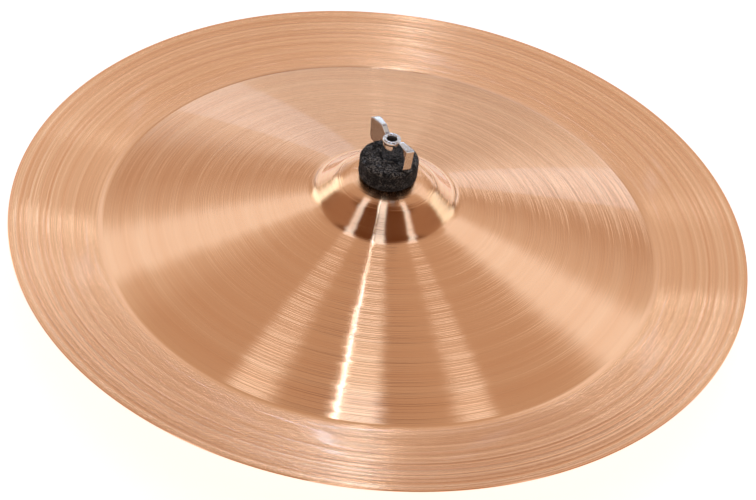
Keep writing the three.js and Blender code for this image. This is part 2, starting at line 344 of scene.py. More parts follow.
cut = noise_along(radius, CUT_LENGTH, 1.0)
rings = noise_along(radius, RING_LENGTH, 1.0)
bands = noise_along(radius, BAND_LENGTH, 3.0, 0.6)
coarse = noise_along(radius, COARSE_LENGTH, 1.0)

# %% [markdown]
# A Bump node takes its slope from two nearby heights, which is too rough for lines finer than a
# pixel: it would tilt some of them sideways and smear the streaks. The slope is therefore used as
# it is. Each line leans the normal outwards or inwards, and a slow wander leans it a little round
# the turn, which bends a narrow highlight to and fro.

# %% Lathe lines: the wander
WANDER_CELLS, WANDER_LENGTH = 4.0, 0.0045  # cells for each unit of direction, metres of radius
around = node(tree, "ShaderNodeCombineXYZ")
for axis, side in enumerate(outward):
    tree.links.new(math_node(tree, "MULTIPLY", side, WANDER_CELLS), around.inputs[axis])
tree.links.new(math_node(tree, "DIVIDE", radius, WANDER_LENGTH), around.inputs[2])
wander = node(tree, "ShaderNodeTexNoise", noise_dimensions="3D", Scale=1.0, Detail=1.0)
tree.links.new(around.outputs[0], wander.inputs["Vector"])
calm = node(tree, "ShaderNodeMapRange", From_Min=(CREASE[0] - 13) * MM, From_Max=(CREASE[0] + 5) * MM,
            To_Min=1.0, To_Max=0.3)
tree.links.new(radius, calm.inputs["Value"])


def lean(noise, label):
    """A slope: noise less its middle value, times the group's input of that name."""
    return math_node(tree, "MULTIPLY", math_node(tree, "SUBTRACT", noise, 0.5), group_in.outputs[label])


# %% Lathe lines: the leaning normal
out_lean = math_node(tree, "ADD", lean(cut, "Cut"), lean(rings, "Rings"))
side_lean = math_node(tree, "MULTIPLY", lean(wander.outputs["Fac"], "Wander"), calm.outputs["Result"])
leaning = node(tree, "ShaderNodeCombineXYZ")
# Where outwards is (a, b), round the turn is (-b, a), so the leaning vector is
# (a * out_lean - b * side_lean, b * out_lean + a * side_lean, 0).
for axis, (first, second, step) in enumerate(((*outward, "SUBTRACT"), (*outward[::-1], "ADD"))):
    tree.links.new(math_node(tree, step, math_node(tree, "MULTIPLY", first, out_lean),
                             math_node(tree, "MULTIPLY", second, side_lean)), leaning.inputs[axis])
turn = node(tree, "ShaderNodeVectorTransform", vector_type="VECTOR", convert_from="OBJECT",
            convert_to="WORLD")
tree.links.new(leaning.outputs[0], turn.inputs[0])
joined = node(tree, "ShaderNodeVectorMath", operation="ADD")
tree.links.new(tree.nodes.new("ShaderNodeNewGeometry").outputs["Normal"], joined.inputs[0])
tree.links.new(turn.outputs[0], joined.inputs[1])
unit = node(tree, "ShaderNodeVectorMath", operation="NORMALIZE")
tree.links.new(joined.outputs[0], unit.inputs[0])
tree.links.new(unit.outputs[0], group_out.inputs["Normal"])

# %% Lathe lines: roughness and tone
# The small bell is cut at a steep angle and comes out less smooth than the bow.
dull = node(tree, "ShaderNodeMapRange", interpolation_type="SMOOTHSTEP",
            From_Min=(BELL_FOOT[0] - 5.3) * MM, From_Max=(BELL_FOOT[0] + 7.7) * MM,
            To_Min=0.145, To_Max=0.11)
tree.links.new(radius, dull.inputs["Value"])
tree.links.new(dull.outputs["Result"], group_out.inputs["Roughness"])

# The tone is 0.15 + 0.15 * rings + 0.5 * bands, and on the flange 1.2 * (coarse - 0.5) more.
on_flange = node(tree, "ShaderNodeMapRange", From_Min=(CREASE[0] - 1) * MM, From_Max=(CREASE[0] + 9) * MM)
tree.links.new(radius, on_flange.inputs["Value"])
shade = math_node(tree, "ADD", math_node(tree, "MULTIPLY", rings, 0.15),
                  math_node(tree, "MULTIPLY", bands, 0.5))
extra = math_node(tree, "MULTIPLY", math_node(tree, "SUBTRACT", coarse, 0.5),
                  on_flange.outputs["Result"])
tree.links.new(math_node(tree, "ADD", math_node(tree, "ADD", shade, 0.15),
                         math_node(tree, "MULTIPLY", extra, 1.2), clamp=True), group_out.inputs["Tone"])
print("lathe lines:", len(tree.nodes), "nodes")

# %% Grain
grain, group_in, group_out = new_group("Grain", {"Scale": 900.0, "Contrast": 1.0},
                                       {"Height": "NodeSocketFloat", "Speckle": "NodeSocketFloat"})
tree = grain
fine = node(tree, "ShaderNodeTexNoise", Detail=4.0, Roughness=0.65)
tree.links.new(tree.nodes.new("ShaderNodeTexCoord").outputs["Object"], fine.inputs["Vector"])
tree.links.new(group_in.outputs["Scale"], fine.inputs["Scale"])
tree.links.new(fine.outputs["Fac"], group_out.inputs["Height"])
spread = math_node(tree, "MULTIPLY", math_node(tree, "SUBTRACT", fine.outputs["Fac"], 0.5),
                   group_in.outputs["Contrast"])
tree.links.new(math_node(tree, "ADD", spread, 0.5, clamp=True), group_out.inputs["Speckle"])
print("grain:", len(tree.nodes), "nodes")

# %% [markdown]
# ## Lathed bronze
# Every line cut by the lathe is a tiny mirror that is flat along the line and curved across it, so
# a lamp is drawn out into a streak along the radius. The Principled BSDF does this with its
# Anisotropic value, and spreads the light along its tangent. The cymbal's UV map has U along the
# profile, so its tangent points from the hole to the rim, which is across the lines.

# %% The bronze material
bronze, tree, shader = new_material("lathed_bronze")
shader.inputs["Metallic"].default_value = 1.0
shader.inputs["Anisotropic"].default_value = 1.0
shader.inputs["Coat Weight"].default_value = 1.0
shader.inputs["Coat Roughness"].default_value = 0.04
lines = use_group(tree, lathe_lines)
BRONZE_LIGHT, BRONZE_DARK = (1.0, 0.65, 0.39), (0.84, 0.43, 0.205)
bronze_tone = mix_colour(tree, lines.outputs["Tone"], BRONZE_DARK, BRONZE_LIGHT)
tree.links.new(bronze_tone, shader.inputs["Base Color"])
for name in ("Normal", "Roughness"):
    tree.links.new(lines.outputs[name], shader.inputs[name])
across = node(tree, "ShaderNodeTangent", direction_type="UV_MAP", uv_map="surface")
tree.links.new(across.outputs["Tangent"], shader.inputs["Tangent"])
cymbal.data.materials.append(bronze)
print("bronze from", BRONZE_DARK, "to", BRONZE_LIGHT)

# %% [markdown]
# ## The felts
# Two pads of pressed black wool hold the sheet. A felt is a solid body with a skin of loose fibres,
# so each is made in two layers: a turned body whose profile follows the crown, pushed in and out by
# smooth noise, and a few thousand short curved fibres standing off its free faces.

# %% A felt's uneven skin
FELT_BORE, FELT_RADIUS = 5.6, 18.0
LOWER_FELT_BASE, UPPER_FELT_TOP, SEAT_GAP = 46.3, 71.1, 0.3
SLEEVE_FLANGE_RADIUS, SLEEVE_FLANGE = 7.5, 1.5
INSET = 0.02  # a finished face lies this far inside its solid
FELT_SPACING, FELT_STEPS = 0.42, 240
SKIN_DEPTH, SKIN_SWELL, SKIN_ROUGH = 0.17, 0.06, 0.025
WAVES, WAVES_SPREAD = 48, 6.9  # the sum of the waves is divided by about the root of their number
UPPER_KEEP, LOWER_KEEP = 0.77, 0.6  # share of its height that each felt keeps as the cymbal rocks


def swell(shape, cells, seed):
    """Smooth random numbers on a grid that closes on itself: a sum of waves whose counts along the
    two sides are whole numbers up to the number of cells, each with a random phase."""
    random = np.random.default_rng(seed)
    u = TURN * np.arange(shape[0])[:, None] / shape[0]
    v = TURN * np.arange(shape[1])[None, :] / shape[1]
    total = np.zeros(shape)
    for _ in range(WAVES):
        m, n = random.integers(0, cells[0] + 1), random.integers(-cells[1], cells[1] + 1)
        total += np.cos(m * u + n * v + random.uniform(0, TURN))
    return total / WAVES_SPREAD


def felt_body(name, profile, seed):
    """The turned profile, moved in towards its middle by up to 0.34 mm of noise at two scales, so
    that it never leaves the solid's space."""
    points = turned(spaced(profile, FELT_SPACING), FELT_STEPS)
    middle = np.array([(FELT_BORE + FELT_RADIUS) / 2, profile[:, 1].mean()])
    flat = np.stack([np.hypot(points[..., 0], points[..., 1]), points[..., 2]], -1)
    inward = middle - flat
    inward /= np.linalg.norm(inward, axis=-1, keepdims=True)
    push = (SKIN_DEPTH + SKIN_SWELL * np.clip(swell(points.shape[:2], (9, 14), seed), -2, 2)
            + SKIN_ROUGH * np.clip(swell(points.shape[:2], (34, 70), seed + 1), -2, 2))
    flat = flat + inward * push[..., None]
    angle = np.arctan2(points[..., 1], points[..., 0])
    return grid_mesh(name, swept(flat[..., 0], angle, flat[..., 1]))


# %% The two bodies
seat = np.linspace(FELT_RADIUS, FELT_BORE, 9)
upper_profile = rounded(
    [(FELT_BORE, UPPER_FELT_TOP, 0.5), (FELT_RADIUS, UPPER_FELT_TOP, 2.2),
     (FELT_RADIUS, sheet_top(FELT_RADIUS) + SEAT_GAP, 2.4)]
    + [(r, sheet_top(r) + SEAT_GAP) for r in seat[1:-1]]
    + [(FELT_BORE, CROWN_TOP + SEAT_GAP, 0.3)], steps=6)
upper_body = felt_body("upper_felt_body", upper_profile, 3)


def under_crown(radius):
    """Height of the lower felt's upper face, a seat's gap below the sheet."""
    return sheet_top(radius) - sheet_thickness(radius) - SEAT_GAP - INSET


recess_radius = SLEEVE_FLANGE_RADIUS + SEAT_GAP
# The recess over the sleeve's flange is deep enough to clear it when the felt is squashed.
recess_top = LOWER_FELT_BASE + SLEEVE_FLANGE / LOWER_KEEP + SEAT_GAP
lower_profile = rounded(
    [(FELT_BORE, recess_top, 0.1)]
    + [(r, under_crown(r)) for r in seat[::-1][:-1]]
    + [(FELT_RADIUS, under_crown(FELT_RADIUS), 0.9), (FELT_RADIUS, LOWER_FELT_BASE, 0.9),
       (recess_radius, LOWER_FELT_BASE, 0.3), (recess_radius, recess_top, 0.1)], steps=6)
lower_body = felt_body("lower_felt_body", lower_profile, 5)

# %% The felts' fibres
FIBRE_LENGTHS, FIBRE_HALF_WIDTH = (0.3, 1.0), 0.04
FIBRE_TILT, FIBRE_BEND = 1.1, 0.9


def fibres(name, roots, outward, count, seed):
    """Each fibre is a bent strip of two quads: it leaves its root along the outward direction
    tilted at random, and its second half bends over by another random tilt. Roots and outward
    directions are drawn at random from the arrays given."""
    random = np.random.default_rng(seed)
    pick = random.integers(0, len(roots), count)
    root, out = roots[pick], outward[pick]
    tilt = random.normal(size=(count, 3))
    first = out + FIBRE_TILT * (tilt - (tilt * out).sum(1, keepdims=True) * out)
    first /= np.linalg.norm(first, axis=1, keepdims=True)
    second = first + FIBRE_BEND * random.normal(size=(count, 3))
    second /= np.linalg.norm(second, axis=1, keepdims=True)
    length = random.uniform(*FIBRE_LENGTHS, (count, 1))
    side = np.cross(first, random.normal(size=(count, 3)))
    side *= FIBRE_HALF_WIDTH / np.linalg.norm(side, axis=1, keepdims=True)
    knee, tip = root + first * length / 2, root + (first + second) * length / 2
    points = np.stack([root - side, root + side, knee + side * 0.8, knee - side * 0.8,
                       tip + side * 0.3, tip - side * 0.3], 1)
    start = 6 * np.arange(count)[:, None]
    faces = np.concatenate([start + [0, 1, 2, 3], start + [3, 2, 4, 5]])
    mesh = bpy.data.meshes.new(name)
    mesh.from_pydata((points.reshape(-1, 3) * MM).tolist(), [], faces.tolist())
    piece = bpy.data.objects.new(name, mesh)
    bpy.context.scene.collection.objects.link(piece)
    print(f"{name}: {count} fibres")
    return piece


def free_skin(body, keep):
    """Points and outward directions of a felt body's skin, in millimetres, where keep(r, z) is true."""
    count = len(body.data.vertices)
    place, normal = np.empty(count * 3, np.float32), np.empty(count * 3, np.float32)
    body.data.vertices.foreach_get("co", place)
    body.data.vertices.foreach_get("normal", normal)
    place, normal = place.reshape(-1, 3) / MM, normal.reshape(-1, 3)
    chosen = keep(np.hypot(place[:, 0], place[:, 1]), place[:, 2])
    return place[chosen], normal[chosen]


# %% Where the fibres stand
# The upper felt has fibres on its side and its top, apart from its seat, its bore and the place
# that the wing nut presses flat. The lower felt has them on its side only.
BORE_EDGE, SEAT_EDGE, SIDE, MIDDLE_HEIGHT = 7.5, 1.4, 15, 65
NUT_REACH, NUT_FOOT = 12.5, 70.4
LOWER_SIDE, LOWER_SEAT_EDGE, LOWER_FOOT_EDGE = 17, 1.2, 0.9
upper_skin = free_skin(upper_body, lambda r, z: (r > BORE_EDGE) & (z > sheet_top(r) + SEAT_EDGE)
                       & ((r > SIDE) | (z > MIDDLE_HEIGHT)) & ~((r < NUT_REACH) & (z > NUT_FOOT)))
upper_fuzz = fibres("upper_felt_fibres", *upper_skin, 6000, 21)
lower_skin = free_skin(lower_body, lambda r, z: (r > LOWER_SIDE) & (z < under_crown(r) - LOWER_SEAT_EDGE)
                       & (z > LOWER_FELT_BASE + LOWER_FOOT_EDGE))
lower_fuzz = fibres("lower_felt_fibres", *lower_skin, 1800, 22)

# %% [markdown]
# ## Black wool
# Dyed wool is almost black, and its loose ends catch the light as grey and brown wisps. The wisps
# are painted dimmer down the side of the pad and full on its top edge, a painted highlight for light
# falling from above. They come from two scales of grain multiplied, so that they gather in clumps,
# and a strong bump breaks the surface up.

# %% Felt material
felt, tree, shader = new_material("black_felt")
wool = use_group(tree, grain, Scale=900.0, Contrast=10.0)
clumps = use_group(tree, grain, Scale=330.0, Contrast=5.0)
hue = use_group(tree, grain, Scale=450.0, Contrast=5.0)
place = node(tree, "ShaderNodeSeparateXYZ")
tree.links.new(tree.nodes.new("ShaderNodeTexCoord").outputs["Object"], place.inputs[0])
# Painted highlight: the wisps are full on the top edge of the upper felt and dimmed to 0.35 below it, as
# if lit from above.
painted_top_light = node(tree, "ShaderNodeMapRange", interpolation_type="SMOOTHSTEP",
            From_Min=(UPPER_FELT_TOP - 3.6) * MM, From_Max=(UPPER_FELT_TOP - 0.3) * MM,
            To_Min=0.35, To_Max=1.0)
tree.links.new(place.outputs[2], painted_top_light.inputs["Value"])
shade = math_node(tree, "MULTIPLY", wool.outputs["Speckle"], clumps.outputs["Speckle"])
shade = math_node(tree, "MULTIPLY", shade, painted_top_light.outputs["Result"])
wisp = mix_colour(tree, hue.outputs["Speckle"], (0.22, 0.26, 0.30), (0.35, 0.32, 0.28))
tree.links.new(mix_colour(tree, shade, (0.004, 0.004, 0.005), wisp), shader.inputs["Base Color"])
shader.inputs["Roughness"].default_value = 0.95
shader.inputs["Sheen Weight"].default_value = 0.12
shader.inputs["Sheen Roughness"].default_value = 0.6
shader.inputs["Specular IOR Level"].default_value = 0.15
bumped(tree, shader, math_node(tree, "ADD", wool.outputs["Height"], clumps.outputs["Height"]),
       strength=1.0, depth=0.0009)
for body, fuzz, node_name, cad_body in (
        (upper_body, upper_fuzz, "upper_felt", "upper_felt"),
        (lower_body, lower_fuzz, "lower_felt", "stud_stack")):
    for piece in (body, fuzz):
        piece.data.materials.append(felt)
        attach(piece, cad_body)
    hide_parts(node_name)

# %% Each felt piece gets a mesh of its own
for piece in (upper_body, upper_fuzz):
    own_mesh(piece)
for piece in (lower_body, lower_fuzz):
    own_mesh(piece)
print(f"rocking squashes the felts to {UPPER_KEEP} and {LOWER_KEEP} of their height")

# %% [markdown]
# ## Threads
# The stud is an M8 thread and both nuts run on it. A thread is a turned surface whose radius also
# depends on the angle: the same wave, shifted by one pitch in a full turn. The solids have plain
# cylinders there, at the crests of the stud and just outside them in the nuts.

# %% The thread's wave
PITCH, CREST, ROOT = 1.25, 3.95, 3.27
NUT_CREST, NUT_ROOT, THREAD_STEP = 3.42, 4.18, 0.104


def thread_radius(height, angle, inner, outer, lead=0.0):
    """Radius of a 60 degree thread: the distance from the crest line, height - pitch * angle / turn
    folded into half a pitch, runs from the crest flat through the flank to the root flat."""
    phase = np.abs((height - lead) / PITCH - angle / TURN
                   - np.round((height - lead) / PITCH - angle / TURN)) * PITCH
    flank = (outer - inner) * math.tan(math.radians(30))
    return outer - (outer - inner) * np.clip((phase - PITCH / 16) / flank, 0, 1)


# %% The stud
STUD_TOP, STUD_RADIUS, STUD_CHAMFER, STUD_STEPS = 80.0, 4.0, 0.9, 40
height = np.concatenate([[0.0], np.arange(0.1, STUD_TOP, THREAD_STEP), [STUD_TOP]])[::-1, None]
angle = TURN * np.arange(STUD_STEPS) / STUD_STEPS
end = np.minimum(height, STUD_TOP - height)
stud_radius = np.minimum(thread_radius(height, angle, ROOT, CREST), STUD_RADIUS - STUD_CHAMFER + end)
stud = grid_mesh("stud_thread", swept(stud_radius, angle, height), wrap_rows=False, caps=True, sharp=50)
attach(stud, "stud_stack")
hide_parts("threaded_stud")

# %% [markdown]
# ## Jam nut, washer and sleeve
# These sit under the cymbal. The jam nut is a hexagon whose corners are turned off, the washer is
# pressed sheet with its edge turned down, and the sleeve is a moulded nylon tube that keeps the
# bronze off the thread.

# %% The jam nut
JAM_BASE, JAM_HEIGHT, ACROSS_FLATS, CORNER_RISE, JAM_STEPS = 38.0, 6.5, 13.0, 0.7, 144
FACE_ROUND, CORNER_SLOPE, MOUTH_RADIUS = 0.1, 1.6, 4.25


def hexagon_radius(angle):
    """Distance from the middle to the side of a hexagon: half the width across flats over the
    cosine of the angle from the middle of the nearest side."""
    sixth = TURN / 6
    return ACROSS_FLATS / 2 / np.cos((angle % sixth) - sixth / 2)


angle = TURN * np.arange(JAM_STEPS) / JAM_STEPS
edge = np.linspace(0, 1, 6)
outer_height = np.concatenate([JAM_HEIGHT - CORNER_RISE * edge, CORNER_RISE * edge[::-1]])
rise = np.minimum(outer_height, JAM_HEIGHT - outer_height)
reach = ACROSS_FLATS / 2 - FACE_ROUND + rise * CORNER_SLOPE
outside = np.minimum(hexagon_radius(angle) - INSET, reach[:, None])
bore_height = np.arange(0, JAM_HEIGHT + 0.01, THREAD_STEP)[:, None]
mouth = MOUTH_RADIUS - np.minimum(bore_height, JAM_HEIGHT - bore_height)
bore = np.maximum(thread_radius(bore_height + JAM_BASE, angle, NUT_CREST, NUT_ROOT, lead=PITCH / 2),
                  mouth)
nut_radius = np.concatenate([outside, bore])
nut_height = np.concatenate([outer_height[:, None], bore_height]) + JAM_BASE
jam_nut = grid_mesh("jam_nut_body", swept(nut_radius, angle, nut_height), sharp=28)

# %% The washer
WASHER_BASE, WASHER_TOP, WASHER_RADIUS, WASHER_BORE = 44.8, 46.0, 17.0, 4.4
WASHER_WALL, WASHER_BEND, WASHER_DROP = 1.2, 2.6, 2.6
BORE_BREAK, EDGE_BREAK = 0.2, 0.48  # the rounding of its sharp edges
lip_foot, lip_inner = WASHER_BASE - WASHER_DROP, WASHER_RADIUS - WASHER_WALL
washer_profile = spaced(rounded(
    [(WASHER_BORE, WASHER_TOP, BORE_BREAK), (WASHER_RADIUS, WASHER_TOP, WASHER_BEND),
     (WASHER_RADIUS, lip_foot, EDGE_BREAK), (lip_inner, lip_foot, EDGE_BREAK),
     (lip_inner, WASHER_BASE, WASHER_BEND - WASHER_WALL), (WASHER_BORE, WASHER_BASE, BORE_BREAK)],
    steps=8), 2.0)
washer = grid_mesh("pressed_washer", turned(washer_profile, 144), sharp=40)

# %% The sleeve
SLEEVE_BORE, SLEEVE_RADIUS, SLEEVE_TOP = 4.3, 5.3, 69.5
sleeve_profile = spaced(rounded(
    [(SLEEVE_BORE, SLEEVE_TOP, 0.35), (SLEEVE_RADIUS, SLEEVE_TOP, 0.45),
     (SLEEVE_RADIUS, LOWER_FELT_BASE + SLEEVE_FLANGE, 0.25),
     (SLEEVE_FLANGE_RADIUS, LOWER_FELT_BASE + SLEEVE_FLANGE, 0.3),
     (SLEEVE_FLANGE_RADIUS, LOWER_FELT_BASE, 0.15), (SLEEVE_BORE, LOWER_FELT_BASE, 0.15)],
    steps=6), 1.5)
sleeve = grid_mesh("nylon_sleeve", turned(sleeve_profile, 96), sharp=40)
for piece, body, node_name, finish in ((jam_nut, "stud_stack", "jam_nut", "zinc_steel"),
                                       (washer, "stud_stack", "cup_washer", "zinc_steel"),
                                       (sleeve, "sleeve", "sleeve", "nylon")):
    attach(piece, body)
    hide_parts(node_name)

# %% [markdown]
# ## Zinc plate and nylon
# Plated steel has a fine dull bloom, darker and rougher in some places than in others, and moulded
# nylon a faint orange peel. Both are one colour that drifts with the grain, and so are the chrome
# and the thread painted dark further down, so one function makes all four finishes.

# %% A finish that drifts with its grain
def grained_finish(name, colours, roughness, drift, metallic, scale, contrast, strength, depth):
    """With the grain's speckle, from 0 to 1, the colour goes from the first to the second, and the
    roughness is roughness + drift * speckle. strength and depth belong to the bump."""
    material, tree, shader = new_material(name)
    skin = use_group(tree, grain, Scale=scale, Contrast=contrast)
    speckle = skin.outputs["Speckle"]
    tree.links.new(mix_colour(tree, speckle, *colours), shader.inputs["Base Color"])
    if drift:
        rough = math_node(tree, "ADD", math_node(tree, "MULTIPLY", speckle, drift), roughness)
        tree.links.new(rough, shader.inputs["Roughness"])
    else:
        shader.inputs["Roughness"].default_value = roughness
    shader.inputs["Metallic"].default_value = metallic
    bumped(tree, shader, skin.outputs["Height"], strength, depth)
    print(f"{name}: roughness {roughness} to {roughness + drift}")
    return material


zinc = grained_finish("zinc_plate", ((0.52, 0.53, 0.55), (0.74, 0.75, 0.77)), 0.2, 0.16,
                      metallic=1.0, scale=700.0, contrast=1.4, strength=0.4, depth=0.00002)
for piece in (stud, jam_nut, washer):
    piece.data.materials.append(zinc)
nylon = grained_finish("moulded_nylon", ((0.035, 0.035, 0.038), (0.07, 0.07, 0.075)), 0.42, 0.0,
                       metallic=0.0, scale=500.0, contrast=1.2, strength=0.3, depth=0.00003)
sleeve.data.materials.append(nylon)

# %% [markdown]
# ## The wing nut
# A die-cast nut, tumbled and chromed, so none of its edges is sharp. Its solid already has the
# right form, bent wings and all, but in facets. A copy of that mesh is merged, rebuilt as an even
# skin of small quads by a voxel remesh, and relaxed, which rounds every edge as tumbling does.

# %% The hub
WING_NUT_BASE, WING_NUT_RING = 71.4, 85.2
BEAD_INNER, BEAD_OUTER, HUB_RADIUS = 3.0, 5.65, 5.3
hub_foot = WING_NUT_BASE + 0.1
hub_profile = rounded(
    [(BEAD_INNER, WING_NUT_RING, 1.0), (BEAD_OUTER, WING_NUT_RING, 1.05),
     (BEAD_OUTER, WING_NUT_RING - 2.1, 0.5), (HUB_RADIUS, WING_NUT_RING - 2.4, 0.4),
     (HUB_RADIUS, hub_foot, 0.3), (MOUTH_RADIUS, hub_foot),
     (MOUTH_RADIUS, WING_NUT_RING - 2.2), (BEAD_INNER, WING_NUT_RING - 1.6)], steps=6)
hub = grid_mesh("wing_nut_hub", turned(spaced(hub_profile, 0.5), 96))

# %% The cast body
FLARE, FLARE_TOP, WAIST = (4.7, 6.3), 74.6, 5.25
nut = bpy.data.objects.new("wing_nut_casting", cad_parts["wing_nut"].data.copy())
bpy.context.scene.collection.objects.link(nut)
nut.data.materials.clear()
merged = bmesh.new()
merged.from_mesh(nut.data)
bmesh.ops.remove_doubles(merged, verts=merged.verts, dist=1e-6)
for corner in merged.verts:  # the flared foot of the hub is drawn in to its waist
    reach = corner.co.xy.length / MM
    if FLARE[0] < reach < FLARE[1] and corner.co.z < FLARE_TOP * MM:
        corner.co.xy *= WAIST / reach
merged.from_mesh(hub.data)
merged.to_mesh(nut.data)
merged.free()
bpy.data.objects.remove(hub)
remesh = nut.modifiers.new("even skin", "REMESH")
remesh.mode = "VOXEL"
remesh.voxel_size = 0.22 * MM
relax = nut.modifiers.new("tumbled edges", "SMOOTH")
relax.factor = 0.5
relax.iterations = 7
bpy.context.view_layer.update()
finished = bpy.data.meshes.new_from_object(nut.evaluated_get(bpy.context.evaluated_depsgraph_get()))
nut.modifiers.clear()
nut.data = finished
nut.data.name = "wing_nut_casting"
nut.data.polygons.foreach_set("use_smooth", np.ones(len(nut.data.polygons), bool))
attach(nut, "wing_nut")
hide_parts("wing_nut")
print("wing nut:", len(nut.data.polygons), "quads")

# %% Its thread
THREAD_MOUTH, MOUTH_SLOPE, THREAD_BACK, NUT_STEPS = 4.2, 0.8, 4.6, 48
height = np.arange(WING_NUT_BASE + 0.6, WING_NUT_RING - 2.0, THREAD_STEP)[:, None]
angle = TURN * np.arange(NUT_STEPS) / NUT_STEPS
end = np.minimum(height - height.min(), height.max() - height)
inner = np.maximum(thread_radius(height, angle, NUT_CREST, NUT_ROOT, lead=PITCH / 2),
                   THREAD_MOUTH - MOUTH_SLOPE * end)
outer = np.full_like(inner[:1], THREAD_BACK)
radius = np.concatenate([outer, inner, outer])
height = np.concatenate([height[:1], height, height[-1:]])
nut_thread = grid_mesh("wing_nut_thread", swept(radius, angle, height), sharp=50)
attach(nut_thread, "wing_nut")

# %% [markdown]
# ## Chrome, and a thread painted dark
# Chrome is a cold mirror, smeared a little by fingers, so its grain is coarse and almost smooth.
# The thread inside was never plated, so it is dull, and it is painted near black: painted shade for
# the hole of the nut, which lies in shadow.

# %% Chrome, and the thread painted dark
chrome = grained_finish("chrome_plate", ((0.62, 0.65, 0.69), (0.72, 0.75, 0.79)), 0.04, 0.06,
                        metallic=1.0, scale=260.0, contrast=1.6, strength=0.5, depth=0.00003)
nut.data.materials.append(chrome)
# Painted shade: the thread is given a near-black colour because the hole of the nut lies in shadow; its
# dull, unplated finish is its own.
painted_dark_thread = grained_finish("thread_painted_shade", ((0.05, 0.045, 0.04), (0.14, 0.13, 0.12)), 0.35, 0.0,
                       metallic=0.8, scale=600.0, contrast=2.0, strength=0.4, depth=0.00002)
nut_thread.data.materials.append(painted_dark_thread)

# %% [markdown]
# ## The camera
# The rim of the cymbal is a circle of known size, and its ellipse in the picture gives the view: a
# long lens, 1.3 m away, looking 40 degrees down, rolled by 7 degrees. Nothing is shifted.

# %% Camera
ELEVATION, ROLL, DISTANCE = math.radians(40.111), math.radians(7.318), 1.3
FRAME_WIDTH, FOCAL_PIXELS, SENSOR = 756, 2133.2, 36
AIM = Vector((0.00017, -0.02923, RIM_TOP * MM))
back = Vector((0, -math.cos(ELEVATION), math.sin(ELEVATION)))
level, upright = Vector((1, 0, 0)), Vector((0, math.sin(ELEVATION), math.cos(ELEVATION)))
right = math.cos(ROLL) * level + math.sin(ROLL) * upright
up = -math.sin(ROLL) * level + math.cos(ROLL) * upright
camera = bpy.data.objects.new("camera", bpy.data.cameras.new("camera"))
camera.data.sensor_width = SENSOR
camera.data.lens = FOCAL_PIXELS / FRAME_WIDTH * SENSOR
camera.data.clip_start, camera.data.clip_end = 0.05, 30
camera.matrix_world = Matrix.Translation(AIM + DISTANCE * back) @ Matrix(
    (right, up, back)).transposed().to_4x4()
bpy.context.scene.collection.objects.link(camera)
bpy.context.scene.camera = camera
print("camera at", [round(v, 3) for v in camera.matrix_world.translation])

# %% [markdown]
# ## The floor
# The floor is a white dish: flat under the object, and curving up far away, so that a camera at any
# height sees white behind the cymbal. The cymbal hangs on its stud and leans 18 mm below it at the
# end of its travel, so the floor lies a little lower still. It adds just enough light of its own,
# for the camera and for mirror-like rays, to show white where nothing shades it.

# %% The floor
FLOOR_DROP, FLOOR_GLOW = 0.024, 0.70
MIDDLE_RING = 0.02


def dish(name, flat, wall, rise, rings=40, steps=96):
    """A disc of the flat radius that bends up to a wall: radius and height follow a quarter
    ellipse from (flat, 0) to (wall, rise), all of it lowered by the floor's drop."""
    quarter = np.linspace(0, math.pi / 2, rings)
    radius = np.concatenate([[MIDDLE_RING, flat / 2], flat + (wall - flat) * np.sin(quarter)])
    height = np.concatenate([[0, 0], rise * (1 - np.cos(quarter))]) - FLOOR_DROP
    points = turned(np.stack([radius, height], -1), steps) / MM
    return grid_mesh(name, points, wrap_rows=False)


floor = dish("floor", flat=1.9, wall=3.4, rise=0.6)
middle = bmesh.new()
middle.from_mesh(floor.data)
inner_ring = [e for e in middle.edges if e.is_boundary and e.verts[0].co.xy.length < 2 * MIDDLE_RING]
bmesh.ops.holes_fill(middle, edges=inner_ring)
middle.to_mesh(floor.data)
middle.free()
paper, tree, shader = new_material("white_paper")
shader.inputs["Base Color"].default_value = (0.86, 0.86, 0.86, 1)
shader.inputs["Roughness"].default_value = 0.9
path = tree.nodes.new("ShaderNodeLightPath")
seen = math_node(tree, "ADD", math_node(tree, "ADD", path.outputs["Is Camera Ray"],
                                        path.outputs["Is Glossy Ray"]),
                 path.outputs["Is Transmission Ray"], clamp=True)
shader.inputs["Emission Color"].default_value = (1, 1, 1, 1)
tree.links.new(math_node(tree, "MULTIPLY", seen, FLOOR_GLOW), shader.inputs["Emission Strength"])
floor.data.materials.append(paper)

# %% [markdown]
# ## The room
# A polished sheet shows its room: between the lamps the bronze is as light as the wall that it
# mirrors. So the room is a dim warm shade with paler patches, on all sides of the cymbal. A
# picture of a studio could be wrapped round the world instead, but a few patches with soft edges
# say plainly what is where, and each can be made paler by itself.

# %% The room
ROOM_SHADE = (0.13, 0.052, 0.024)
world = bpy.data.worlds.new("room")
bpy.context.scene.world = world
world.use_nodes = True
tree = world.node_tree
direction = node(tree, "ShaderNodeSeparateXYZ")
tree.links.new(tree.nodes.new("ShaderNodeTexCoord").outputs["Generated"], direction.inputs[0])
bearing = math_node(tree, "ARCTAN2", direction.outputs[0], direction.outputs[1])
height = math_node(tree, "ARCSINE", direction.outputs[2])


def inside(tree, value, low, high, soft):
    """1 between low and high (degrees), 0 outside them, with a smooth step of the soft width."""
    rise = node(tree, "ShaderNodeMapRange", interpolation_type="SMOOTHSTEP",
                From_Min=math.radians(low - soft), From_Max=math.radians(low + soft))
    fall = node(tree, "ShaderNodeMapRange", interpolation_type="SMOOTHSTEP",
                From_Min=math.radians(high - soft), From_Max=math.radians(high + soft))
    for step in (rise, fall):
        tree.links.new(value, step.inputs["Value"])
    return math_node(tree, "SUBTRACT", rise.outputs["Result"], fall.outputs["Result"])


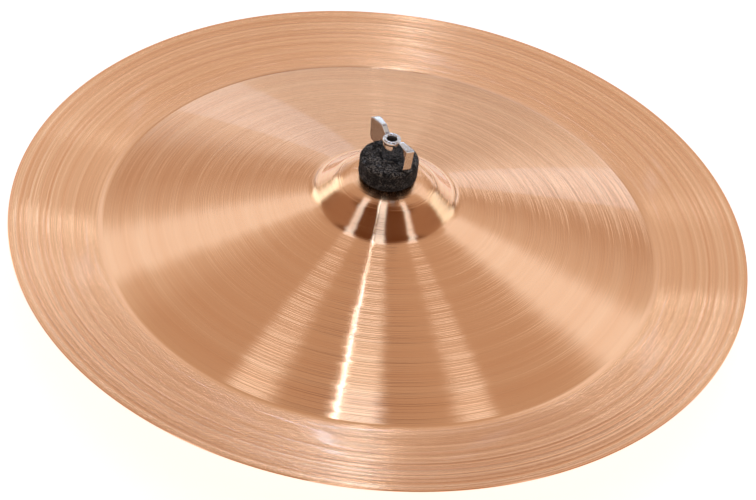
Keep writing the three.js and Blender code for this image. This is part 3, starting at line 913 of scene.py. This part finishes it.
# Bearings (degrees from straight behind, to the right), heights, softness and colour of each patch.
ROOM_PATCHES = [((-200, -112), (4, 40), 6, (0.74, 0.62, 0.54)),
                ((112, 200), (4, 40), 6, (0.74, 0.62, 0.54)),
                ((-125, 125), (25, 58), 6, (0.36, 0.22, 0.15)),
                ((-62, 62), (28, 75), 4, (0.58, 0.44, 0.36)),
                ((-62, 62), (32, 49), 4, (0.71, 0.60, 0.54)),
                ((-62, -38), (14, 32), 4, (1.66, 1.86, 1.95)),
                ((42, 68), (14, 34), 4, (1.25, 1.36, 1.40)),
                ((-38, 38), (16, 24), 3, (0.85, 0.75, 0.71)),
                ((-38, 38), (25, 30), 2, (0.55, 0.40, 0.32)),
                ((-20, 20), (-20, 17), 2, (0.57, 0.48, 0.42)),
                ((-9, 9), (19, 30), 3, (0.30, 0.15, 0.08))]
room = None
for sides, heights, soft, colour in ROOM_PATCHES:
    share = math_node(tree, "MULTIPLY", inside(tree, bearing, *sides, soft),
                      inside(tree, height, *heights, soft))
    room = mix_colour(tree, share, room or ROOM_SHADE, colour)
tree.links.new(room, tree.nodes["Background"].inputs["Color"])
tree.nodes["Background"].inputs["Strength"].default_value = 1.0
print("the room has", len(ROOM_PATCHES), "lit patches")

# %% [markdown]
# ## The lamps
# The lathed bronze draws each lamp out into a streak. A streak falls where the grooves run square
# to the line half-way between lamp and camera, so a lamp is placed by the side on which its streak
# should lie. The lamps are a little cool against the warm room, and long boxes turned along their
# spokes give streaks with straight sides.

# %% One lamp
LAMP_DISTANCE = 2.2


def streak_lamp(name, side, width, near, far, level, colour=(0.86, 1.13, 1.50), soft=True):
    """A soft box whose streak lies on the given side of the bronze (degrees, 0 to the right, 90 at
    the back). The level part of its direction is that of a mirror facing the camera plus k times
    the side's direction, and the box covers k from near to far. width is its narrow side in metres,
    and level its brightness, where 1 is white. A soft lamp fades towards its two long sides, as
    a box with one tube behind its cloth does: 1 out to 0.4 of the half width, and a smooth step
    from there to 0 at the edge."""
    angle, middle, half = math.radians(side), (near + far) / 2, (far - near) / 2
    flat = np.array([0, math.cos(ELEVATION)]) + middle * np.array([math.cos(angle), math.sin(angle)])
    towards = np.array([*flat, math.sqrt(max(1 - flat @ flat, 1e-4))])
    spoke = np.array([math.cos(angle), math.sin(angle), 0])
    along = spoke - (spoke @ towards) * towards
    along /= np.linalg.norm(along)
    size = 2 * LAMP_DISTANCE * half / max(towards[2], 0.3)
    lamp = bpy.data.lights.new(name, "AREA")
    lamp.shape, lamp.size, lamp.size_y = "RECTANGLE", size, width
    lamp.energy = 4 * size * width * level
    lamp.color = colour
    if soft:
        lamp.use_nodes = True
        tree = lamp.node_tree
        over = node(tree, "ShaderNodeSeparateXYZ")
        tree.links.new(tree.nodes.new("ShaderNodeNewGeometry").outputs["Parametric"], over.inputs[0])
        off = math_node(tree, "ABSOLUTE", math_node(tree, "SUBTRACT", over.outputs[1], 0.5))
        fade = node(tree, "ShaderNodeMapRange", interpolation_type="SMOOTHSTEP",
                    From_Min=0.2, From_Max=0.5, To_Min=1.0, To_Max=0.0)
        tree.links.new(off, fade.inputs["Value"])
        tree.links.new(fade.outputs["Result"], tree.nodes["Emission"].inputs["Strength"])
    holder = bpy.data.objects.new(name, lamp)
    holder.matrix_world = Matrix.Translation(
        Vector(towards * LAMP_DISTANCE) + Vector((0, 0, RIM_TOP * MM))) @ Matrix(
        (Vector(along), Vector(np.cross(towards, along)), Vector(towards))).transposed().to_4x4()
    holder.visible_camera = False
    bpy.context.scene.collection.objects.link(holder)
    print(f"{name}: {size:.2f} x {width:.2f} m at {np.round(towards * LAMP_DISTANCE, 2)}")
    return holder


# %% The lamps for bow and bell
# Side, width, near, far and level of each.
BOW_LAMPS = {"left_box": (-163.5, 0.50, 0.22, 0.62, 0.25), "right_box": (-22.5, 0.56, 0.22, 0.66, 0.26),
             "left_low": (152.0, 0.22, 0.22, 0.44, 0.38), "right_low": (20.0, 0.24, 0.22, 0.44, 0.45),
             "left_strip": (-115.0, 0.34, 0.50, 0.95, 0.74),
             "left_strip_high": (-115.0, 0.46, 0.95, 1.35, 0.66),
             "right_strip": (-62.5, 0.28, 0.50, 0.95, 0.66),
             "right_strip_high": (-62.5, 0.38, 0.95, 1.35, 0.68),
             "top_strip": (-90.0, 0.32, 0.45, 0.90, 0.95),
             "top_strip_high": (-90.0, 0.50, 0.90, 1.35, 0.80),
             "hot_line_top": (-95.2, 0.012, 0.34, 1.30, 5.0)}
HARD_LAMPS = ("left_low", "right_low", "hot_line_top")
for name, values in BOW_LAMPS.items():
    streak_lamp(name, *values, soft=name not in HARD_LAMPS)

# %% [markdown]
# ## Narrow lamps for the flange
# The flange leans the other way and mirrors only a small patch of the room round k = 0, where the
# big boxes don't reach. Each streak on it has a narrow lamp of its own, on the spoke that it
# mirrors.

# %% The lamps for the flange
FLANGE_NEAR, FLANGE_FAR = 0.03, 0.17
# Side, width and level of each.
FLANGE_LAMPS = {"flange_left": (156.0, 0.050, 0.50), "flange_right": (27.4, 0.055, 0.55),
                "flange_front_left": (111.9, 0.035, 0.30), "flange_front": (90.0, 0.035, 0.35),
                "flange_front_right": (65.6, 0.025, 0.35), "flange_back_right": (-33.4, 0.025, 0.60),
                "flange_back_middle": (-79.3, 0.022, 0.15), "flange_back": (-90.0, 0.035, 0.14),
                "flange_back_next": (-100.8, 0.018, 0.18), "flange_back_left": (-143.6, 0.030, 0.42)}
for name, (side, width, level) in FLANGE_LAMPS.items():
    streak_lamp(name, side, width, FLANGE_NEAR, FLANGE_FAR, level)
streak_lamp("hot_line_front", 95.4, 0.004, FLANGE_NEAR, FLANGE_FAR, 7.0, soft=False)
streak_lamp("hot_line_back", -88.2, 0.003, 0.05, FLANGE_FAR, 3.0, soft=False)

# %% [markdown]
# ## The end
# The plain Standard view shows a colour as it is written.

# %% View settings and the end
bpy.context.scene.view_settings.view_transform = "Standard"
